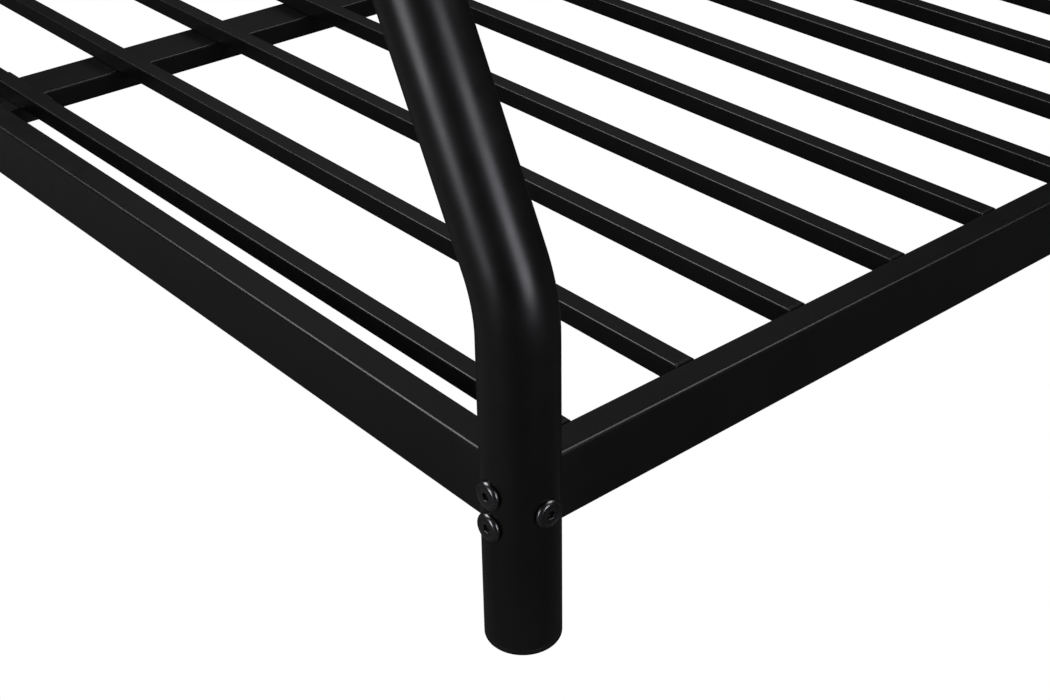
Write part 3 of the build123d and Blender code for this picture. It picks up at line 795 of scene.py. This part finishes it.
def add_bolt(mesh_builder, place, head_diameter, head_thickness, socket, shank_diameter,
             shank_length):
    """A bolt whose head's underside lies on place's XY plane, with its shank along +Z."""
    head, shank = head_diameter / 2, shank_diameter / 2
    # Each row is a radius, a height, and the socket's width across flats if it has one.
    profile = [
        (0.0, shank_length, None),
        (shank * 0.75, shank_length, None),
        (shank, shank_length - shank * 0.25, None),
        (shank, 0.0003, None),
        (shank, 0.0, None),
        (head * 0.985, 0.0, None),
        (head, -0.0002, None),
        (head, -head_thickness * 0.34, None),
        (head * 0.975, -head_thickness * 0.52, None),
        (head * 0.91, -head_thickness * 0.80, None),
        (head * 0.84, -head_thickness * 0.96, None),
        (head * 0.79, -head_thickness, None),
        (head * 0.74, -head_thickness * 0.97, None),
        (head * 0.66, -head_thickness * 0.86, None),
        (head * 0.52, -head_thickness * 0.82, None),
        (head * 0.44, -head_thickness * 0.90, None),
        (socket / 2 + 0.0004, -head_thickness * 0.91, socket + 0.0007),
        (socket / 2, -head_thickness * 0.84, socket),
        (socket / 2, -head_thickness * 0.22, socket),
        (0.0, -head_thickness * 0.16, None),
    ]
    count = 48
    rings = []
    for radius, z, flats in profile:
        if radius == 0.0:
            rings.append([mesh_builder.verts.new(place @ Vector((0, 0, z)))])
            continue
        ring = []
        for k in range(count):
            angle = 2 * math.pi * k / count
            r = hexagon(angle, flats) if flats else radius
            point = Vector((r * math.cos(angle), r * math.sin(angle), z))
            ring.append(mesh_builder.verts.new(place @ point))
        rings.append(ring)
    socket_rings = 4  # the last rings of the profile
    socket_from = len(rings) - socket_rings
    for index, (near, far) in enumerate(zip(rings, rings[1:])):
        for k in range(count):
            m = (k + 1) % count
            corners = [near[k % len(near)], near[m % len(near)],
                       far[m % len(far)], far[k % len(far)]]
            face = mesh_builder.faces.new(list(dict.fromkeys(corners)))
            # Faces inside the socket take the second material, which paints the recess's shade.
            face.material_index = 1 if index > socket_from else 0


def facing(origin, direction):
    """A placement whose Z axis points along a direction."""
    turn = direction.to_track_quat("Z", "Y").to_matrix().to_4x4()
    return Matrix.Translation(origin) @ turn


def make_bolts(name, mesh_builder, node):
    """Finishes bolts as one piece; their sockets take the second material, a painted shade."""
    bolts = make_piece(name, mesh_builder, bolt_metal, [node])
    bolts.data.materials.append(socket_shade_metal)


# %% Put in the long bolts
head_thickness, socket_flats = 0.0032, 0.005
long_bolt = (0.0195, head_thickness, socket_flats, 0.008, 0.070)
bolt_line_drop = 0.0264
bolt_spacing = 0.0235
ladder_corner = (1, -1)  # the front guard stops short of this post
bm = bmesh.new()
bolt_count = 0
for deck_name, (deck_y, deck_top) in decks.items():
    middle = deck_top - bolt_line_drop
    for end, side in four_corners:
        lengthwise = [middle - bolt_spacing / 2, middle + bolt_spacing / 2]
        crosswise = [middle]
        if deck_name == "upper":
            crosswise += end_tops
            if (end, side) != ladder_corner:
                lengthwise += side_tops
        for z in lengthwise:
            start = Vector((end * (end_x + post_radius), side * deck_y, z))
            add_bolt(bm, facing(start, Vector((-end, 0, 0))), *long_bolt)
        for z in crosswise:
            start = Vector((end * end_x, side * (deck_y + post_radius), z))
            add_bolt(bm, facing(start, Vector((0, -side, 0))), *long_bolt)
        bolt_count += len(lengthwise) + len(crosswise)
make_bolts("turned_rail_bolts", bm, "rail_bolts")
print("long bolts:", bolt_count)

# %% Put in the short bolts
small_head, small_shank = 0.014, 0.006
short_bolt = (small_head, head_thickness, socket_flats, small_shank, 0.010)
ladder_bolt = (small_head, head_thickness, socket_flats, small_shank, 0.032)
sleeve_step = 0.040
leg_bolt_x = 0.029
sheet = 0.003
bm = bmesh.new()
for end, side in four_corners:
    for step in (-sleeve_step, sleeve_step):
        start = Vector((end * (end_x + post_radius), side * upper_y, post_joint + step))
        add_bolt(bm, facing(start, Vector((-end, 0, 0))), *short_bolt)
clip_low, clip_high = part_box("ladder_clips")
clip_bolt_z = lower_deck - (clip_high.z - clip_low.z - sheet) / 2
for x in stiles_x:
    start = Vector((x, clip_low.y, clip_bolt_z))
    add_bolt(bm, facing(start, Vector((0, 1, 0))), *short_bolt)
for x in (-leg_bolt_x, leg_bolt_x):
    start = Vector((x, 0, beam_z - beam_height / 2 - sheet))
    add_bolt(bm, facing(start, Vector((0, 0, 1))), *short_bolt)
cradle_reach = 0.0685
cradle_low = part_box("beam_cradles")[0]
cradle_bolt_x = end_x - (cradle_reach + rail_width / 2) / 2
for end in (-1, 1):
    start = Vector((end * cradle_bolt_x, 0, cradle_low.z))
    add_bolt(bm, facing(start, Vector((0, 0, 1))), *short_bolt)
make_bolts("turned_short_bolts", bm, "short_bolts")

bm = bmesh.new()
for x in stiles_x:
    start = Vector((x, stile_top_y - bar_radius, upper_deck - rail_height / 2))
    add_bolt(bm, facing(start, Vector((0, 1, 0))), *ladder_bolt)
make_bolts("turned_ladder_bolts", bm, "ladder_bolts")
print("short and ladder bolts in place")

# %% [markdown]
# ## Feet and caps
# Plastic plugs close the tubes.  Each is one turned profile again: a rounded foot
# or a low dome, a thin parting groove where plastic meets steel, and a stem with
# ribs that grip the bore, hidden inside the tube.

# %% Turn the plugs
def add_turned(mesh_builder, place, profile, count=64):
    """A closed solid turned from a profile of (radius, height)."""
    rings = []
    for radius, z in profile:
        steps = count if radius > 0 else 1
        ring = []
        for k in range(steps):
            angle = 2 * math.pi * k / count
            point = Vector((radius * math.cos(angle), radius * math.sin(angle), z))
            ring.append(mesh_builder.verts.new(place @ point))
        rings.append(ring)
    for near, far in zip(rings, rings[1:]):
        for k in range(count):
            m = (k + 1) % count
            corners = [near[k % len(near)], near[m % len(near)],
                       far[m % len(far)], far[k % len(far)]]
            mesh_builder.faces.new(list(dict.fromkeys(corners)))


def plug_profile(radius, bore, height, edge, depth):
    """Profile of a plug whose visible part stands above z = 0 and its stem below."""
    arc_steps = 8
    groove = 0.0003
    tip, stem = bore * 0.86, bore * 0.93
    profile = [(0.0, -depth), (tip, -depth), (stem, -depth * 0.9)]
    for rib in range(3):
        z = -depth * (0.75 - 0.22 * rib)
        profile += [(stem, z), (bore, z + 0.0006), (bore, z + 0.0018), (stem, z + 0.0024)]
    profile += [(stem, -0.0002), (bore, 0.0), (radius - groove, 0.0), (radius - 0.0001, groove)]
    for k in range(arc_steps + 1):
        angle = math.pi / 2 * k / arc_steps
        profile.append((radius - edge + edge * math.cos(angle),
                        height - edge + edge * math.sin(angle)))
    profile += [(radius * 0.5, height), (0.0, height)]
    return profile


# %% Put in the feet and caps
plug_depth = 0.022
sleeve_gap = 0.0002
dome = 0.8  # share of a cap's height that is rounded
small_plug_sides = 40
post_bore = post_radius - post_wall - sleeve_gap
bar_bore = bar_radius - bar_wall - sleeve_gap
downward = Matrix.Rotation(math.pi, 4, "X")

bm = bmesh.new()
foot_profile = plug_profile(post_radius, post_bore, foot_height, foot_height / 2, plug_depth)
for end, side in four_corners:
    place = Matrix.Translation((end * end_x, side * lower_y, foot_height)) @ downward
    add_turned(bm, place, foot_profile)
make_piece("moulded_foot_plugs", bm, nylon, ["foot_plugs"])

cap_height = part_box("post_caps")[1].z - post_top
bm = bmesh.new()
cap_profile = plug_profile(post_radius, post_bore, cap_height, cap_height * dome, plug_depth)
for end, side in four_corners:
    add_turned(bm, Matrix.Translation((end * end_x, side * upper_y, post_top)), cap_profile)
make_piece("moulded_post_caps", bm, nylon, ["post_caps"])

stile_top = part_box("ladder_stile_left")[1].z
bm = bmesh.new()
stile_cap_profile = plug_profile(bar_radius, bar_bore, cap_height, cap_height * dome, plug_depth)
for x in stiles_x:
    place = Matrix.Translation((x, stile_top_y, stile_top))
    add_turned(bm, place, stile_cap_profile, small_plug_sides)
make_piece("moulded_ladder_top_plugs", bm, nylon, ["ladder_top_plugs"])

leg_radius = 0.016
leg_bore = leg_radius - tube_wall - sleeve_gap
bm = bmesh.new()
leg_foot_profile = plug_profile(leg_radius, leg_bore, foot_height, foot_height / 2, plug_depth)
place = Matrix.Translation((0, 0, foot_height)) @ downward
add_turned(bm, place, leg_foot_profile, small_plug_sides)
make_piece("moulded_leg_foot", bm, nylon, ["leg_foot"])
print("feet, caps and plugs turned")

# %% [markdown]
# ## Folded brackets
# The beam's cradles and the ladder's clips are folded from sheet steel.  A fold
# has a small outer radius, and cut edges are dressed before painting, so a bevel
# modifier with a few segments softens every sharp edge of the plain outline.

# %% Fold a bracket
def add_bracket(mesh_builder, outline, start_x, stop_x):
    """A closed outline of (y, z) points, drawn out along X."""
    near = [mesh_builder.verts.new((start_x, y, z)) for y, z in outline]
    far = [mesh_builder.verts.new((stop_x, y, z)) for y, z in outline]
    count = len(outline)
    for k in range(count):
        m = (k + 1) % count
        mesh_builder.faces.new((near[k], near[m], far[m], far[k]))
    mesh_builder.faces.new(near)
    mesh_builder.faces.new(far[::-1])


def soften(piece, width):
    """Rounds a piece's sharp edges, before its normals are weighted."""
    bevel = piece.modifiers.new("dressed_edges", "BEVEL")
    bevel.width = width
    bevel.segments = 3
    bevel.limit_method = "ANGLE"
    bevel.angle_limit = math.radians(40)
    piece.modifiers.move(len(piece.modifiers) - 1, 0)


# %% Fold the cradles and the clips
cradle_edge, clip_edge = 0.0006, 0.0008
low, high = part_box("beam_cradles")
trough_slack = 0.0005
trough = beam_width / 2 + trough_slack
wing = high.y
beam_low_z = beam_z - beam_height / 2
cradle_outline = [
    (-wing, high.z), (-trough, high.z), (-trough, beam_low_z),
    (trough, beam_low_z), (trough, high.z), (wing, high.z),
    (wing, high.z - sheet), (trough + sheet, high.z - sheet), (trough + sheet, low.z),
    (-trough - sheet, low.z), (-trough - sheet, high.z - sheet), (-wing, high.z - sheet),
]
bm = bmesh.new()
for end in (-1, 1):
    add_bracket(bm, cradle_outline, end * (end_x - rail_width / 2), end * (end_x - cradle_reach))
cradles = make_piece("folded_beam_cradles", bm, black_paint, ["beam_cradles"])
soften(cradles, cradle_edge)

clip_outline = [
    (clip_low.y, clip_low.z), (clip_low.y, clip_high.z),
    (clip_high.y, clip_high.z), (clip_high.y, clip_low.z),
    (clip_high.y - sheet, clip_low.z), (clip_high.y - sheet, clip_high.z - sheet),
    (clip_low.y + sheet, clip_high.z - sheet), (clip_low.y + sheet, clip_low.z),
]
clip_half = (clip_high.x - clip_low.x - (stiles_x[1] - stiles_x[0])) / 2
bm = bmesh.new()
for x in stiles_x:
    add_bracket(bm, clip_outline, x - clip_half, x + clip_half)
clips = make_piece("folded_ladder_clips", bm, black_paint, ["ladder_clips"])
soften(clips, clip_edge)
print("cradles and clips folded")

# %% [markdown]
# ## Carried-over pieces
# The plugs in the slat ends, the inserts, the sleeves and the centre leg have the
# right shape in the CAD already, and most of them sit inside a tube.  They keep
# their CAD meshes and only get the finish of the real thing.

# %% Dress the CAD nodes that stay
carried = {
    "slat_plugs": nylon,
    "rail_inserts": zinc,
    "guard_bar_inserts": zinc,
    "post_couplings": zinc,
    "centre_leg": black_paint,
}
for node, material in carried.items():
    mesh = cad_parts[node].data
    mesh.materials.clear()
    mesh.materials.append(material)
print("carried over:", ", ".join(carried))

# %% [markdown]
# ## Floor and surroundings
# Black satin steel shows little but what it mirrors, so the room matters as much as
# the finish.  The floor and the sky look plain white to the eye, without shadows.
# To the steel they are dim, as a dark studio is, so that the tubes stay deep black
# between a few clear highlights.  The floor it mirrors is lighter in front of the
# bed and beside its left end, and darker close to the bed, as a painted shadow of
# the bed.  A light-path switch does this for the stage only.

# %% Lay the floor
def two_faced(tree, seen, mirrored):
    """Joins what the eye sees and what the steel mirrors."""
    path = tree.nodes.new("ShaderNodeLightPath")
    mix = tree.nodes.new("ShaderNodeMixShader")
    tree.links.new(path.outputs["Is Camera Ray"], mix.inputs["Fac"])
    tree.links.new(mirrored, mix.inputs[1])
    tree.links.new(seen, mix.inputs[2])
    return mix.outputs["Shader"]


# Painted shadow: the floor that the steel mirrors is floor_dark close to the bed and floor_light
# away from it.
floor_dark, floor_light = 0.085, 0.165
floor_material = bpy.data.materials.new("pale_floor")
tree = empty_tree(floor_material)
pale = tree.nodes.new("ShaderNodeEmission")
pale.inputs["Color"].default_value = (1, 1, 1, 1)
dim = tree.nodes.new("ShaderNodeBsdfDiffuse")
where = tree.nodes.new("ShaderNodeTexCoord")
across = tree.nodes.new("ShaderNodeSeparateXYZ")
tree.links.new(where.outputs["Object"], across.inputs["Vector"])
ahead = spread(tree, across.outputs["Y"], 1.0, 0.0, start=-2.6, stop=-1.2)
aside = spread(tree, across.outputs["X"], 1.0, 0.0, start=-1.25, stop=-1.0)
beside = tree.nodes.new("ShaderNodeMath")
beside.operation = "MULTIPLY"
tree.links.new(aside, beside.inputs[0])
past_front = spread(tree, across.outputs["Y"], 0.0, 1.0, start=-1.0, stop=-0.85)
tree.links.new(past_front, beside.inputs[1])
further = tree.nodes.new("ShaderNodeMath")
further.operation = "MAXIMUM"
tree.links.new(ahead, further.inputs[0])
tree.links.new(beside.outputs["Value"], further.inputs[1])
floor_shadow_ramp = tree.nodes.new("ShaderNodeValToRGB")
floor_shadow_ramp.color_ramp.elements[0].color = (floor_dark, floor_dark, floor_dark, 1)
floor_shadow_ramp.color_ramp.elements[1].color = (floor_light, floor_light, floor_light, 1)
tree.links.new(further.outputs["Value"], floor_shadow_ramp.inputs["Fac"])
tree.links.new(floor_shadow_ramp.outputs["Color"], dim.inputs["Color"])
surface = tree.nodes.new("ShaderNodeOutputMaterial")
floor_shader = two_faced(tree, pale.outputs["Emission"], dim.outputs["BSDF"])
tree.links.new(floor_shader, surface.inputs["Surface"])

floor_reach = 12.0
bm = bmesh.new()
bmesh.ops.create_grid(bm, x_segments=1, y_segments=1, size=floor_reach)
floor_mesh = bpy.data.meshes.new("floor")
bm.to_mesh(floor_mesh)
bm.free()
floor_mesh.materials.append(floor_material)
floor = bpy.data.objects.new("floor", floor_mesh)
scene.collection.objects.link(floor)
print("floor laid,", 2 * floor_reach, "m across")

# %% Close the room
room_tone = 0.035
room = bpy.data.worlds.new("room")
scene.world = room
tree = empty_tree(room)
sky = tree.nodes.new("ShaderNodeBackground")
sky.inputs["Color"].default_value = (1, 1, 1, 1)
dusk = tree.nodes.new("ShaderNodeBackground")
dusk.inputs["Color"].default_value = (room_tone, room_tone, room_tone, 1)
surface = tree.nodes.new("ShaderNodeOutputWorld")
room_shader = two_faced(tree, sky.outputs["Background"], dusk.outputs["Background"])
tree.links.new(room_shader, surface.inputs["Surface"])
print("room closed")

# %% [markdown]
# ## Studio lights
# Two upright strips, one to the left and one in front, draw the two long
# highlights on each post.  Two panels above the deck, one for the edges that run
# along the bed and one for those that run across it, draw the thin bright lines on
# rails and slats, and a weak far panel gives the flat tops a little tone.  They are
# set for the near corner, so the bed is darker seen from behind.  A panel's power
# is its radiance times pi times its area.

# %% Hang the lights
def soft_panel(name, place, target, width, height, radiance, tone=(1, 1, 1)):
    """A rectangular light of a given radiance, aimed at a point."""
    light = bpy.data.lights.new(name, "AREA")
    light.shape = "RECTANGLE"
    light.size = width
    light.size_y = height
    light.energy = radiance * math.pi * width * height
    light.color = tone
    lamp = bpy.data.objects.new(name, light)
    scene.collection.objects.link(lamp)
    lamp.location = place
    lamp.rotation_euler = (target - place).to_track_quat("-Z", "Y").to_euler()
    lamp.visible_camera = False
    return lamp


near_corner = Vector((-end_x, -lower_y, 0))
post_middle = near_corner + Vector((0, 0.03, 0.33))
deck_corner = near_corner + Vector((0, 0, lower_deck))
# Each row is a name, a target, the way there, then width, height, radiance and tone.
panels = [
    ("left_strip", post_middle, (-2.6, 0, 0.52), 1.0, 1.3, 5.8, (0.97, 0.94, 1)),
    ("front_strip", post_middle, (0.25, -2.4, 0.58), 1.0, 1.35, 5.0, (0.94, 0.92, 1)),
    ("end_edge_panel", deck_corner, (-0.75, 1.95, 2.15), 1.6, 1.2, 6.5),
    ("side_edge_panel", deck_corner, (1.65, -0.75, 2.4), 1.2, 1.6, 4.0),
    ("far_panel", deck_corner, (2.6, 3.1, 2.3), 2.6, 1.6, 0.16),
]
for name, target, offset, *rest in panels:
    soft_panel(name, target + Vector(offset), target, *rest)

# %% [markdown]
# ## Camera
# The view looks down on one low corner of the bed from close by, with a slightly
# long lens.  Heading, dip and roll are given as three turns, because they can
# be read and changed one at a time, where a matrix can't.

# %% Place the camera
camera_offset = Vector((-0.5329, -0.6376, 0.7166))
heading, dip, roll = math.radians(40.16), math.radians(31.34), math.radians(-0.935)
camera = bpy.data.objects.new("camera", bpy.data.cameras.new("camera"))
scene.collection.objects.link(camera)
camera.data.sensor_width = 36.0
camera.data.lens = 57.90
turn = Matrix.Rotation(-heading, 4, "Z") @ Matrix.Rotation(math.pi / 2 - dip, 4, "X")
turn = turn @ Matrix.Rotation(roll, 4, "Z")
camera.matrix_world = Matrix.Translation(near_corner + camera_offset) @ turn
scene.camera = camera
scene.view_settings.view_transform = "Standard"
print("camera at", [round(c, 3) for c in camera.matrix_world.translation])
